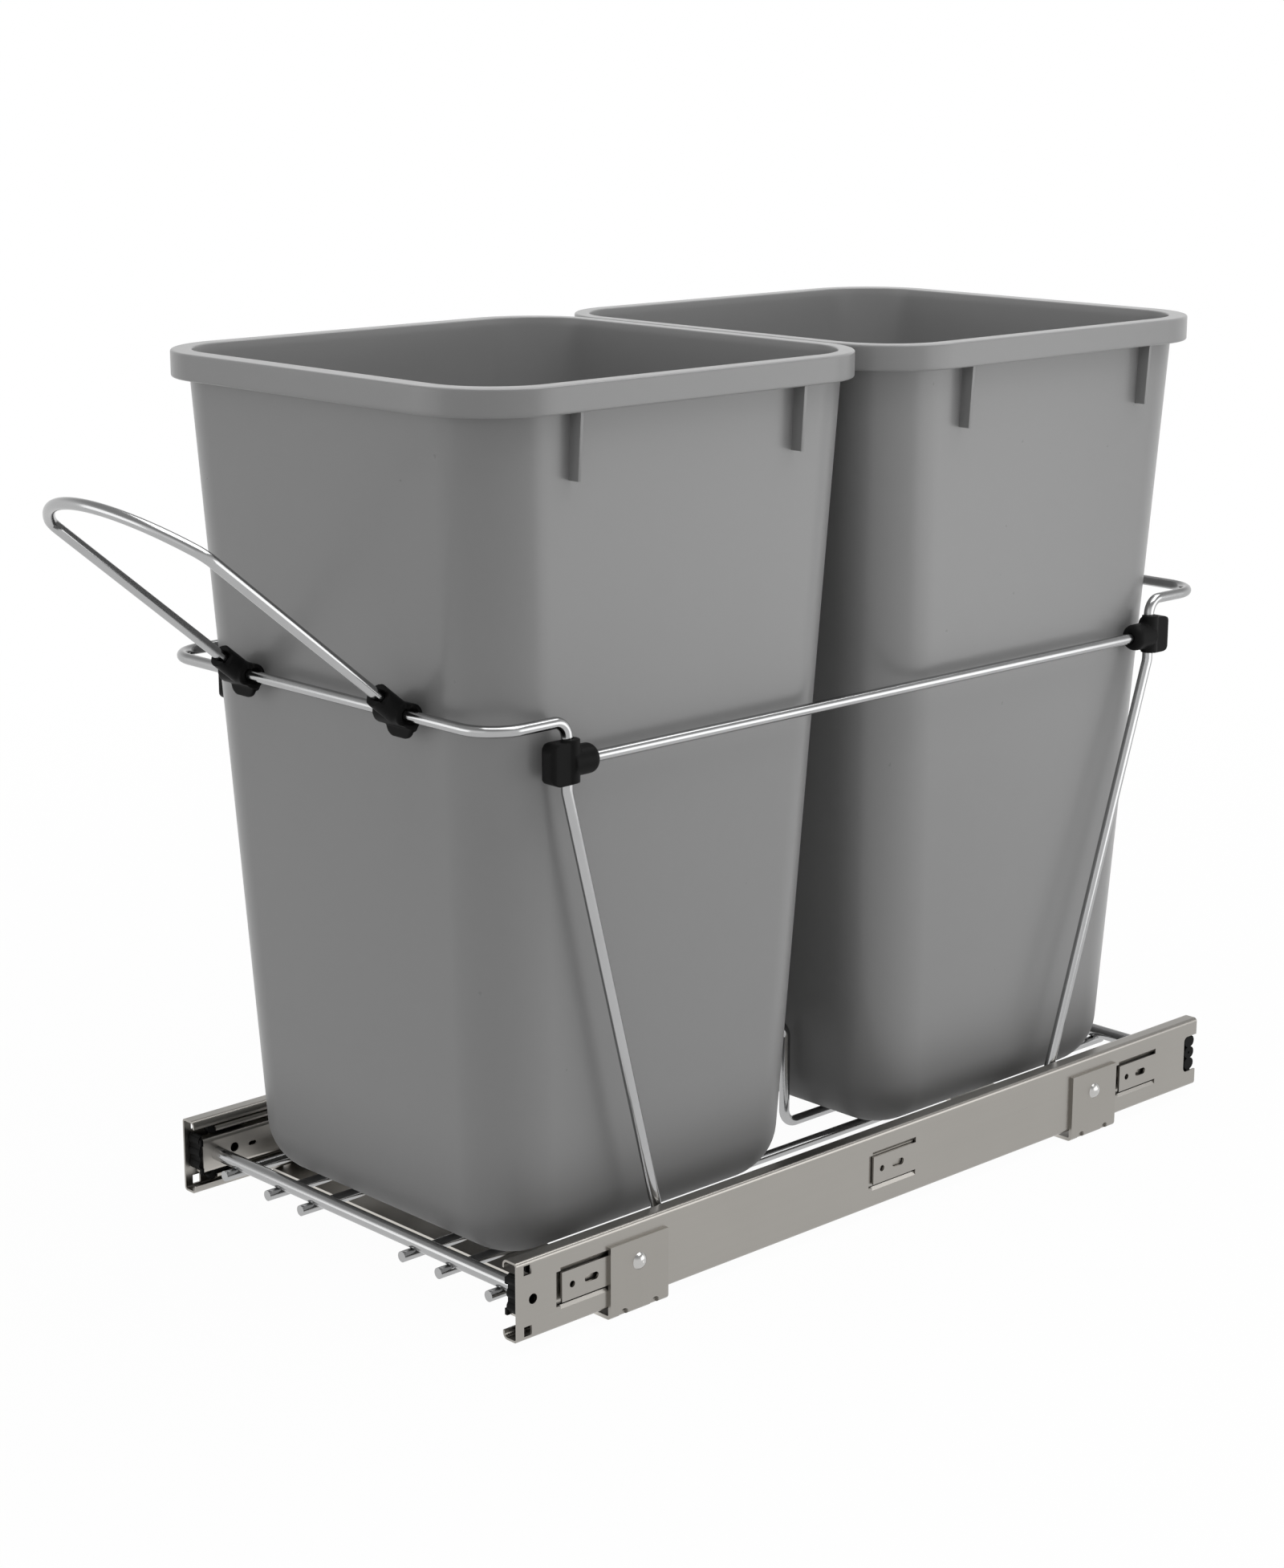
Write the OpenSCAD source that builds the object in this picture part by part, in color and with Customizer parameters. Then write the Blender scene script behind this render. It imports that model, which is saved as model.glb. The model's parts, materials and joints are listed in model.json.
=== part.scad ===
// Pull-out bin frame: two lift-out bins on a wire carriage that runs on two three-member ball slides.
// Millimetres. X to the right, Y to the rear, Z up.
// Origin on the cabinet floor, at the centre of the four floor-screw holes.

/* [Slides] */
// height of the outer members
slide_h = 43; // [42.5:0.5:46]
// thickness of a whole slide, outer face to inner face
slide_t = 12.2; // [12:0.1:14]
// width over the two outer members
frame_w = 285; // [280:1:300]
// underside of the outer members above the floor
slide_lift = 5.8; // [4:0.1:9]
// thickness of the slide sheet
sheet = 1.2; // [1:0.05:1.3]
// diameter of the balls
ball_d = 4; // [3.6:0.1:4]
// balls in one row of an outer cage
outer_ball_count = 10; // [5:1:10]
// balls in one row of an inner cage
inner_ball_count = 9; // [5:1:9]

/* [Outer member piercings] */
// first lanced tongue behind the front end
lance_1 = 26.3; // [20:0.1:30]
// second lanced tongue behind the front end
lance_2 = 259.2; // [240:0.1:280]
// third lanced tongue ahead of the rear end
lance_3 = 80; // [73:0.5:96]
// height of a lanced tongue over its slits
lance_h = 19; // [16:0.5:22]
// length of the slits of a tongue
lance_len = 39; // [36:0.5:42]
// height of the rear notch
notch_h = 22.7; // [20:0.1:24]
// depth of the rear notch
notch_len = 12; // [10:0.1:12.5]

/* [Floor straps] */
// width of a strap
strap_w = 41; // [34:0.5:50]
// thickness of a strap
strap_t = 2; // [1.5:0.1:2.5]
// top of the bent-up ends above the floor
strap_rise = 40; // [36:0.5:46]
// centre line of the front strap behind the front end of the slides
front_strap_inset = 82.5; // [76:0.5:100]
// centre line of the rear strap ahead of the rear end of the slides
rear_strap_inset = 102.5; // [100:0.5:120]
// diameter of the floor-screw holes
screw_d = 5; // [4:0.1:6]
// distance between the two floor-screw holes of a strap
screw_span = 186; // [178:1:194]
// diameter of the rivet heads
rivet_head_d = 9.4; // [6.5:0.1:10]

/* [Carriage floor] */
// diameter of the cross rods
rod_d = 8; // [7:0.1:9]
// distance of a cross rod from the end of the outer members
rod_inset = 14.3; // [13:0.1:18]
// gap between the foot of the front bin and the front cross rod
front_rod_gap = 2.6; // [1:0.1:4]
// gap between the foot of the rear bin and the rear cross rod
rear_rod_gap = 22.6; // [16:0.1:26]
// diameter of the floor wires
wire_d = 6; // [5:0.1:7]
// floor wires beyond the centre of the cross rods
wire_over = 7.8; // [6:0.1:8]
// outer floor wires from the middle
outer_wire_x = 113; // [108:0.1:116]
// middle floor wires from the middle
middle_wire_x = 73.3; // [60:0.1:80]
// arched floor wires from the middle
arched_wire_x = 43.5; // [30:0.1:52]
// distance between the two uprights of a divider arch
arch_w = 49.6; // [40:0.1:54]
// height of a divider arch over its floor wire
arch_h = 62.6; // [50:0.1:80]

/* [Hoops and side rods] */
// diameter of the hoop wire
hoop_d = 6; // [5.6:0.1:6.4]
// height of the hoop rails above the floor
hoop_z = 317.4; // [314:0.1:330]
// corner radius of the hoop rails
hoop_corner_r = 21.3; // [16:0.1:28]
// run of a hoop from its rail back to its uprights
hoop_reach = 49.6; // [46:0.1:60]
// gap between the front rail and the front bin
front_gap = 6.5; // [5:0.1:12]
// gap between the rear rail and the rear bin
rear_gap = 17.3; // [4:0.1:20]
// gap between the hoop legs and the bins
side_gap = 5.8; // [5.6:0.1:9]
// foot of a front upright behind its top
front_lean = 70.8; // [50:0.1:90]
// foot of a rear upright ahead of its top
rear_lean = 77; // [50:0.1:90]
// diameter of the side rods
side_rod_d = 6; // [5.6:0.1:6.4]
// height of the side rods above the floor
side_rod_z = 296.5; // [280:0.1:297.4]

/* [Handle] */
// diameter of the handle wire
handle_d = 6; // [5.6:0.1:6.4]
// distance between the handle legs
handle_w = 129; // [110:1:150]
// reach of the handle from its pivot
handle_len = 173.8; // [150:0.1:190]
// radius of the bow of the handle
bow_r = 85; // [80:1:120]
// corner radius of the handle
handle_corner_r = 14; // [10:0.5:20]
// angle of the handle above the level, at rest
handle_tilt = 39.3; // [20:0.1:60]

/* [Bins] */
// width of a bin over its rim
bin_w = 279; // [270:1:284]
// depth of a bin over its rim
bin_d = 284; // [276:1:292]
// height of a bin
bin_h = 457.8; // [430:0.1:480]
// gap between the two rims
bin_gap = 1; // [0.6:0.1:3]
// wall thickness of a bin
wall = 2.5; // [2:0.1:3]
// height of the rim skirt
rim_h = 14; // [10:0.5:20]
// distance of the gusset fins from the middle of a bin
fin_y = 77; // [60:1:85]

/* [Hidden] */
$fn = 48;

LEFT = -1;
RIGHT = 1;
FRONT = -1;
REAR = 1;

// lengths along the slides, which follow the bins
foot_in_x = 29.5;
foot_in_y = 34.3;
body_shift = 1.6;
bin_y = (bin_d + bin_gap) / 2;
rim_x = bin_w / 2;
rim_y = bin_d / 2;
body_foot_x = rim_x - foot_in_x;
body_foot_y = rim_y - foot_in_y;
front_run = bin_y - body_shift + body_foot_y + front_rod_gap + rod_d / 2 + rod_inset;
rear_run = bin_y - body_shift + body_foot_y + rear_rod_gap + rod_d / 2 + rod_inset;
slide_len = front_run + rear_run;
strap_span = slide_len - front_strap_inset - rear_strap_inset;
slide_front = -strap_span / 2 - front_strap_inset;
slide_rear = slide_front + slide_len;
slide_shift = (slide_front + slide_rear) / 2;
bins_y = slide_front + front_run;

// slide section: u runs inward from the outer face, v up from the middle of the slide
half_h = slide_h / 2;
slide_mid_z = slide_lift + half_h;
ball_play = 0.25;
cage_t = 0.6;
bend_r = 2.2;
outer_lip_r = 3.2;
outer_lip_u = slide_t - 1.4;
outer_lip_len = 4.6;
slit_slope = 1.8;
outer_ball_v = half_h - sheet - ball_play - ball_d / 2;
outer_ball_u = 6;
outer_cage_u = sheet + 0.5;
mid_v = outer_ball_v - ball_d / 2 - ball_play;
mid_u = outer_cage_u + cage_t + 0.5;
mid_lip_u = slide_t - sheet - 0.3;
mid_lip_len = 2.9;
inner_ball_v = mid_v - sheet - ball_play - ball_d / 2;
inner_ball_u = mid_lip_u - sheet - 0.35 - ball_d / 2;
inner_cage_u = mid_u + sheet + 0.35;
inner_v = inner_ball_v - ball_d / 2 - ball_play;
inner_u = inner_cage_u + cage_t + 0.65;
inner_front = slide_front + 4.7;
mid_front = slide_front + 15;
members_rear = slide_rear - 10;
outer_pitch = 26;
inner_pitch = 25;
cage_end = 7;
guide_len = 21;
lobe_d = 7.2;
bumper_v = 2;
outer_cage_y = slide_shift - 5;
inner_cage_y = slide_shift + 12.5;

// carriage
weld = 0.1;
rod_z = slide_mid_z;
front_rod_y = slide_front + rod_inset;
rear_rod_y = slide_rear - rod_inset;
inner_face_x = frame_w / 2 - slide_t;
wire_z = rod_z - rod_d / 2 - wire_d / 2 + weld;
wire_front = front_rod_y - wire_over;
wire_rear = rear_rod_y + wire_over;
arch_r = 9;

// bins
bin_z = wire_z + wire_d / 2 + 0.3;
bin_top = bin_z + bin_h;
rim_r = 49;
rim_top_w = 9.5;
rim_t = 2.2;
body_top_x = rim_x - 7.7;
body_top_y = rim_y - 8;
body_top_r = 40;
body_foot_r = 35;
foot_edge_r = 30;
corner_steps = 12;
fin_t = 2;
fin_len = 47.5;
fin_out = 7;

// hoops
leg_x = body_x(hoop_z) + side_gap + hoop_d / 2;
front_rail_y = bins_y - bin_y + body_shift - body_y(hoop_z) - front_gap - hoop_d / 2;
rear_rail_y = bins_y + bin_y - body_shift + body_y(hoop_z) + rear_gap + hoop_d / 2;
front_leg_y = front_rail_y + hoop_reach;
rear_leg_y = rear_rail_y - hoop_reach;
clip_top = 12;
clip_low = 10.5;
hoop_bend_r = hoop_z - side_rod_z - clip_top - 0.4;
knee_z = side_rod_z - clip_low - 4.5;
knee_r = 12;
foot_x = inner_face_x - hoop_d / 2 + weld;
fit = 0.05;
bead = 0.05;
bead_gap = 0.06;

function body_part(z) = (z - bin_z) / bin_h;
function body_x(z) = body_foot_x + (body_top_x - body_foot_x) * body_part(z);
function body_y(z) = body_foot_y + (body_top_y - body_foot_y) * body_part(z);
function body_r(z) = body_foot_r + (body_top_r - body_foot_r) * body_part(z);
function unit(v) = v / norm(v);
function turn(a, b, c) = acos(unit(b - a) * unit(c - b));
function run(a, b, c, r) = r * tan(turn(a, b, c) / 2);
function placed(x, y, z, at) = [
    [x[0], y[0], z[0], at[0]],
    [x[1], y[1], z[1], at[1]],
    [x[2], y[2], z[2], at[2]],
    [0, 0, 0, 1]
];

// a straight round bar between two points
module bar(a, b, d) {
    w = unit(b - a);
    u = unit(cross(abs(w[2]) < 0.9 ? [0, 0, 1] : [1, 0, 0], w));
    multmatrix(placed(u, cross(w, u), w, a))
        cylinder(d = d, h = norm(b - a));
}

// the bend of a wire at b, on the way from a to c, with a bead where it meets the straights
module wire_bend(a, b, c, r, d) {
    u = unit(b - a);
    n = unit(cross(u, unit(c - b)));
    start = b - u * run(a, b, c, r);
    sweep = turn(a, b, c);
    trim = bead_gap / r * 180 / PI;
    multmatrix(placed(-cross(n, u), u, n, start + r * cross(n, u))) {
        rotate(trim)
            rotate_extrude(angle = sweep - 2 * trim)
                translate([r, 0])
                    circle(d = d);
        for (t = [0, sweep])
            rotate(t)
                translate([r, 0, 0])
                    sphere(d = d + bead);
    }
}

// a wire bent at every inner point of p, with the bend radii r
module bent_wire(p, r, d) {
    last = len(p) - 1;
    for (i = [0 : last - 1]) {
        w = unit(p[i + 1] - p[i]);
        a = i == 0 ? p[0] : p[i] + w * (run(p[i - 1], p[i], p[i + 1], r[i]) + bead_gap);
        b = i == last - 1
            ? p[last]
            : p[i + 1] - w * (run(p[i], p[i + 1], p[i + 2], r[i + 1]) + bead_gap);
        if ((b - a) * w > 0.5) bar(a, b, d);
    }
    for (i = [1 : last - 1])
        wire_bend(p[i - 1], p[i], p[i + 1], r[i], d);
}

// parts of the slides are drawn for the left side
module sided(side) {
    if (side == RIGHT) mirror([1, 0, 0]) children();
    else children();
}

// a box in slide coordinates
module slide_box(u0, u1, v0, v1, y0, y1) {
    translate([u0 - frame_w / 2, y0, slide_mid_z + v0])
        cube([u1 - u0, y1 - y0, v1 - v0]);
}

// a round bar across a slide, from u0 to u1
module slide_pin(u0, u1, v, y, d) {
    translate([u0 - frame_w / 2, y, slide_mid_z + v])
        rotate([0, 90, 0])
            cylinder(d = d, h = u1 - u0);
}

// a section in slide coordinates, drawn out from y0 to y1
module slide_bar(y0, y1) {
    translate([-frame_w / 2, y1, slide_mid_z])
        rotate([90, 0, 0])
            linear_extrude(height = y1 - y0)
                children();
}

// a quarter of a bent sheet
module quarter(r) {
    difference() {
        intersection() {
            circle(r);
            square(r);
        }
        circle(r - sheet);
    }
}

// a channel: web at u, flanges at v, bent lips at lip_u of length lip_len
module channel_section(u, v, lip_u, lip_r, lip_len) {
    translate([u, bend_r - v])
        square([sheet, 2 * (v - bend_r)]);
    for (s = [0, 1])
        mirror([0, s]) {
            translate([u + bend_r, v - bend_r])
                rotate(90)
                    quarter(bend_r);
            translate([u + bend_r, v - sheet])
                square([lip_u - lip_r - u - bend_r, sheet]);
            translate([lip_u - lip_r, v - lip_r])
                quarter(lip_r);
            translate([lip_u - sheet, v - lip_len])
                square([sheet, lip_len - lip_r]);
        }
}

module inner_section() {
    translate([slide_t - sheet, bend_r - inner_v])
        square([sheet, 2 * (inner_v - bend_r)]);
    for (s = [0, 1])
        mirror([0, s]) {
            translate([slide_t - bend_r, inner_v - bend_r])
                quarter(bend_r);
            translate([inner_u, inner_v - sheet])
                square([slide_t - bend_r - inner_u, sheet]);
        }
}

// a slot with round ends, along y
module slot_cut(u0, u1, v, y, long, high) {
    half = (long - high) / 2;
    slide_box(u0, u1, v - high / 2, v + high / 2, y - half, y + half);
    slide_pin(u0, u1, v, y - half, high);
    slide_pin(u0, u1, v, y + half, high);
}

// the slits, hole and slot of one lanced tongue
module lance_cut(y) {
    slit = 1.4;
    edge = lance_h / 2;
    slide_box(-1, sheet + 0.3, -edge, edge, y, y + 4);
    for (s = [0, 1])
        slide_bar(y + 3, y + lance_len)
            mirror([0, s])
                polygon([
                    [-1, edge - slit],
                    [sheet + 0.3, edge - slit],
                    [sheet + 0.3, edge],
                    [sheet, edge],
                    [0, edge + slit_slope],
                    [-1, edge + slit_slope]
                ]);
    slide_pin(-1, sheet + 0.3, 0, y + 11, 3.6);
    slot_cut(-1, sheet + 0.3, 0, y + 24.3, 9.5, 4);
}

module notch_cut() {
    r = 3;
    edge = slide_rear - notch_len;
    slide_box(-1, sheet + 0.3, -notch_h / 2, notch_h / 2, edge + r, slide_rear + 1);
    slide_box(-1, sheet + 0.3, r - notch_h / 2, notch_h / 2 - r, edge, slide_rear + 1);
    for (s = [-1, 1])
        slide_pin(-1, sheet + 0.3, s * (notch_h / 2 - r), edge + r, 2 * r);
}

module outer_member(side) {
    color([0.62, 0.6, 0.57])
        sided(side)
            difference() {
                slide_bar(slide_front, slide_rear)
                    channel_section(0, half_h, outer_lip_u, outer_lip_r, outer_lip_len);
                slide_pin(-1, sheet + 0.3, 0, slide_front + 10.7, 5.5);
                for (s = [-1, 1])
                    slide_box(-1, sheet + 0.3, s * 16.4 - 2.6, s * 16.4 + 2.6,
                        slide_front + 4.6, slide_front + 9.8);
                for (y = [slide_front + lance_1, slide_front + lance_2, slide_rear - lance_3])
                    lance_cut(y);
                for (y = [-strap_span / 2, strap_span / 2])
                    slide_pin(-1, sheet + 0.3, 0, y, 4 + 2 * fit);
                notch_cut();
            }
}

module intermediate_member(side) {
    color([0.6, 0.58, 0.55])
        sided(side)
            slide_bar(mid_front, members_rear)
                channel_section(mid_u, mid_v, mid_lip_u, 2, mid_lip_len);
}

module inner_member(side) {
    color([0.62, 0.6, 0.57])
        sided(side)
            difference() {
                slide_bar(inner_front, members_rear)
                    inner_section();
                slide_pin(slide_t - sheet - 0.3, slide_t + 1, 0.6, inner_front + 21.5, 5.5);
                slot_cut(slide_t - sheet - 0.3, slide_t + 1, 0, inner_front + 34, 5, 2.4);
                slide_pin(slide_t - sheet - 0.3, slide_t + 1, 0.6, members_rear - 21.5, 5.5);
            }
}

// black guide of the intermediate member: a bridge on its web and two arms under its flanges
module front_guide(side) {
    web_u = mid_u + sheet;
    under = mid_v - sheet;
    arm_u = mid_u + bend_r + 0.1;
    color([0.1, 0.1, 0.1])
        sided(side)
            difference() {
                union() {
                    slide_box(web_u, inner_u - 0.4, 1.1 - under, under - 1.1, mid_front + 2,
                        mid_front + guide_len);
                    for (s = [-1, 1]) {
                        slide_box(arm_u, mid_lip_u - 2.1, s > 0 ? under - 3.2 : -under,
                            s > 0 ? under : 3.2 - under, mid_front - 2.3, mid_front + guide_len);
                        slide_pin(arm_u, mid_lip_u - 2.1, s * (under - 0.4), mid_front - 2.3, 4.4);
                    }
                }
                slide_box(web_u - 1, inner_u, -5, 5, mid_front + 7, mid_front + guide_len - 5);
            }
}

// three lobes in a row, from u0 to u1, about the height v
module lobes(u0, u1, v, y) {
    for (k = [-1 : 1])
        slide_pin(u0, u1, v + k * lobe_d, y, lobe_d);
}

module front_bumper(side) {
    color([0.1, 0.1, 0.1])
        sided(side) {
            intersection() {
                lobes(sheet + 0.4, slide_t - sheet - 0.1, bumper_v, inner_front - 2.2 + lobe_d / 2);
                slide_box(0, slide_t, -half_h, half_h, inner_front - 3, inner_front);
            }
            slide_box(sheet + 0.4, slide_t - sheet - 0.1, bumper_v - 1.4 * lobe_d,
                bumper_v + 1.4 * lobe_d, inner_front - 1.2, inner_front);
            slide_box(inner_u + 0.4, slide_t - bend_r, sheet + 0.1 - inner_v, inner_v - sheet - 0.1,
                inner_front, inner_front + 12);
            for (s = [-1, 1])
                slide_box(slide_t - sheet - 0.2, slide_t + 0.4, s * 8.4 - 1.8, s * 8.4 + 1.8,
                    inner_front - 1.8, inner_front);
        }
}

module rear_bumper(side) {
    color([0.1, 0.1, 0.1])
        sided(side)
            difference() {
                union() {
                    for (y = [members_rear + lobe_d / 2 + 0.6, members_rear + lobe_d / 2 + 2.2])
                        lobes(sheet, outer_lip_u - sheet - 0.4, 0, y);
                    slide_box(sheet, outer_lip_u - sheet - 0.4, 3.5 - half_h, half_h - 3.5,
                        members_rear + 3.3, members_rear + 6.5);
                }
                slide_pin(sheet - 1, slide_t, 0, members_rear + 4.6, 1.6);
            }
}

// a ball cage: a bent strip with a hole for every ball
module cage(u, v, ball_u, tip_u, count, pitch, y) {
    half = (count - 1) * pitch / 2 + cage_end;
    difference() {
        union() {
            slide_box(u, u + cage_t, -v - cage_t / 2, v + cage_t / 2, y - half, y + half);
            for (s = [-1, 1])
                slide_box(u, tip_u, s * v - cage_t / 2, s * v + cage_t / 2, y - half, y + half);
        }
        for (s = [-1, 1])
            for (k = [0 : count - 1])
                translate([ball_u - frame_w / 2, y + (k - (count - 1) / 2) * pitch, slide_mid_z + s * v])
                    cylinder(d = ball_d + 0.3, h = 2, center = true);
    }
}

module balls(v, ball_u, count, pitch, y) {
    for (s = [-1, 1])
        for (k = [0 : count - 1])
            translate([ball_u - frame_w / 2, y + (k - (count - 1) / 2) * pitch, slide_mid_z + s * v])
                sphere(d = ball_d);
}

module outer_cage(side) {
    color([0.7, 0.68, 0.62])
        sided(side)
            cage(outer_cage_u, outer_ball_v, outer_ball_u, outer_lip_u - sheet - 0.6, outer_ball_count,
                outer_pitch, outer_cage_y);
}

module outer_balls(side) {
    color([0.8, 0.8, 0.8])
        sided(side)
            balls(outer_ball_v, outer_ball_u, outer_ball_count, outer_pitch, outer_cage_y);
}

module inner_cage(side) {
    color([0.7, 0.68, 0.62])
        sided(side)
            cage(inner_cage_u, inner_ball_v, inner_ball_u, mid_lip_u - sheet - 0.4, inner_ball_count,
                inner_pitch, inner_cage_y);
}

module inner_balls(side) {
    color([0.8, 0.8, 0.8])
        sided(side)
            balls(inner_ball_v, inner_ball_u, inner_ball_count, inner_pitch, inner_cage_y);
}

// floor strap, drawn across and then cut
module cross_strap(end) {
    y = end * strap_span / 2;
    out_x = frame_w / 2 + strap_t;
    r = strap_t + 0.8;
    color([0.6, 0.58, 0.54])
        difference() {
            translate([0, y + strap_w / 2, 0])
                rotate([90, 0, 0])
                    linear_extrude(height = strap_w)
                        strap_section(out_x, r);
            for (x = [-screw_span / 2, screw_span / 2])
                translate([x, y, -1])
                    cylinder(d = screw_d, h = strap_t + 2);
            for (s = [-1, 1])
                translate([s * (frame_w / 2 + strap_t / 2), y, slide_mid_z])
                    rotate([0, 90, 0])
                        cylinder(d = 4 + 2 * fit, h = strap_t + 2, center = true);
            for (s = [-1, 1])
                for (dy = [-11, 11])
                    translate([s * out_x, y + dy, 1.2])
                        rotate([0, 90, 0])
                            cylinder(d = 6, h = 5, center = true);
        }
}

module strap_section(out_x, r) {
    translate([r - out_x, 0])
        square([2 * (out_x - r), strap_t]);
    for (s = [0, 1])
        mirror([s, 0]) {
            difference() {
                translate([out_x - r, 0])
                    intersection() {
                        translate([0, r]) circle(r);
                        square(r);
                    }
                translate([out_x - r, r]) circle(r - strap_t);
            }
            translate([out_x - strap_t, r])
                square([strap_t, strap_rise - r]);
        }
}

module rivet(side, y) {
    head_h = 2.6;
    dome_r = (rivet_head_d * rivet_head_d / 4 + head_h * head_h) / (2 * head_h);
    sided(side)
        translate([-frame_w / 2 - strap_t, y, slide_mid_z])
            rotate([0, -90, 0]) {
                intersection() {
                    translate([0, 0, head_h - dome_r]) sphere(dome_r);
                    cylinder(d = 2 * rivet_head_d, h = 2 * head_h);
                }
                translate([0, 0, -strap_t - sheet])
                    cylinder(d = 4, h = strap_t + sheet);
            }
}

module strap_rivets() {
    color([0.75, 0.74, 0.72])
        for (side = [LEFT, RIGHT])
            for (end = [FRONT, REAR])
                rivet(side, end * strap_span / 2);
}

// cross rod, welded between the inner members
module cross_rod(y) {
    color([0.78, 0.79, 0.8])
        bar([-inner_face_x, y, rod_z], [inner_face_x, y, rod_z], rod_d);
}

module floor_wire(x) {
    color([0.78, 0.79, 0.8])
        bar([x, wire_front, wire_z], [x, wire_rear, wire_z], wire_d);
}

module arched_floor_wire(x) {
    top_z = wire_z + arch_h;
    color([0.78, 0.79, 0.8])
        bent_wire(
            [
                [x, wire_front, wire_z],
                [x, bins_y - arch_w / 2, wire_z],
                [x, bins_y - arch_w / 2, top_z],
                [x, bins_y + arch_w / 2, top_z],
                [x, bins_y + arch_w / 2, wire_z],
                [x, wire_rear, wire_z]
            ],
            [0, arch_r, arch_r, arch_r, arch_r], wire_d);
}

// hoop: foot, lean, upright, rail and back again
module hoop(rail_y, leg_y, foot_y) {
    foot_part = (knee_z - slide_mid_z + 8) / (knee_z - slide_mid_z);
    end_x = leg_x + (foot_x - leg_x) * foot_part;
    end_y = leg_y + (foot_y - leg_y) * foot_part;
    color([0.8, 0.81, 0.82])
        bent_wire(
            [
                [-end_x, end_y, slide_mid_z - 8],
                [-leg_x, leg_y, knee_z],
                [-leg_x, leg_y, hoop_z],
                [-leg_x, rail_y, hoop_z],
                [leg_x, rail_y, hoop_z],
                [leg_x, leg_y, hoop_z],
                [leg_x, leg_y, knee_z],
                [end_x, end_y, slide_mid_z - 8]
            ],
            [0, knee_r, hoop_bend_r, hoop_corner_r, hoop_corner_r, hoop_bend_r, knee_r], hoop_d);
}

module front_hoop() {
    hoop(front_rail_y, front_leg_y, front_leg_y + front_lean);
}

module rear_hoop() {
    hoop(rear_rail_y, rear_leg_y, rear_leg_y - rear_lean);
}

module side_rod(side) {
    color([0.8, 0.81, 0.82])
        bar([side * leg_x, front_leg_y + hoop_d / 2 + 1.2, side_rod_z],
            [side * leg_x, rear_leg_y - hoop_d / 2 - 1.2, side_rod_z], side_rod_d);
}

// a flat plate with round corners, drawn in x and y
module round_plate(x0, x1, y0, y1, r) {
    translate([x0 + r, y0]) square([x1 - x0 - 2 * r, y1 - y0]);
    translate([x0, y0 + r]) square([x1 - x0, y1 - y0 - 2 * r]);
    for (x = [x0 + r, x1 - r])
        for (y = [y0 + r, y1 - r])
            translate([x, y]) circle(r);
}

// black T-clip: a saddle and bead on the upright, a socket for the side rod towards +y
module rod_clip(side, end) {
    socket_r = side_rod_d / 2 + 4.7;
    socket_len = 17.1;
    nose_r = 4;
    y = end == FRONT ? front_leg_y : rear_leg_y;
    color([0.1, 0.1, 0.1])
        translate([0, y, 0])
            mirror([0, end == REAR ? 1 : 0, 0])
                sided(side)
                    translate([-leg_x, 0, side_rod_z])
                        difference() {
                            union() {
                                intersection() {
                                    translate([-5.4, 0, 0])
                                        rotate([90, 0, 90])
                                            linear_extrude(height = 10)
                                                round_plate(-14, 4.8, -clip_low, clip_top - 1.3, 6);
                                    translate([0, 0, -clip_low])
                                        linear_extrude(height = clip_low + clip_top)
                                            round_plate(-5.4, 4.6, -14, 6, 3);
                                }
                                translate([-1.6, 0.9, 0.5 - clip_low])
                                    cylinder(d = 9.6, h = clip_low + clip_top - 0.5);
                                rotate([-90, 0, 0])
                                    cylinder(r = socket_r, h = socket_len - nose_r);
                                translate([0, socket_len - nose_r, 0])
                                    rotate([-90, 0, 0])
                                        cylinder(r = socket_r - nose_r, h = nose_r);
                                translate([0, socket_len - nose_r, 0])
                                    rotate([-90, 0, 0])
                                        rotate_extrude()
                                            translate([socket_r - nose_r, 0])
                                                intersection() {
                                                    circle(nose_r);
                                                    square(nose_r);
                                                }
                            }
                            translate([0, 0, -2 * clip_low])
                                cylinder(d = hoop_d + 2 * fit, h = 4 * clip_low);
                            translate([0, hoop_d / 2 + 0.8, 0])
                                rotate([-90, 0, 0])
                                    cylinder(d = side_rod_d + 2 * fit, h = socket_len);
                        }
}

// the handle wire lies in a plane through the front rail
function in_handle(x, s) = [x, front_rail_y - s * cos(handle_tilt), hoop_z + s * sin(handle_tilt)];

module handle_wire() {
    leg = handle_w / 2;
    corner_turn = acos((leg - handle_corner_r) / (bow_r - handle_corner_r));
    bow_s = handle_len - bow_r;
    corner_s = bow_s + (bow_r - handle_corner_r) * sin(corner_turn);
    shoulder_s = corner_s + handle_corner_r * tan(corner_turn / 2);
    peak_s = bow_s + bow_r / sin(corner_turn);
    color([0.82, 0.83, 0.84])
        bent_wire(
            [
                in_handle(-leg, 9),
                in_handle(-leg, shoulder_s),
                in_handle(0, peak_s),
                in_handle(leg, shoulder_s),
                in_handle(leg, 9)
            ],
            [0, handle_corner_r, bow_r, handle_corner_r], handle_d);
}

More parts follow.
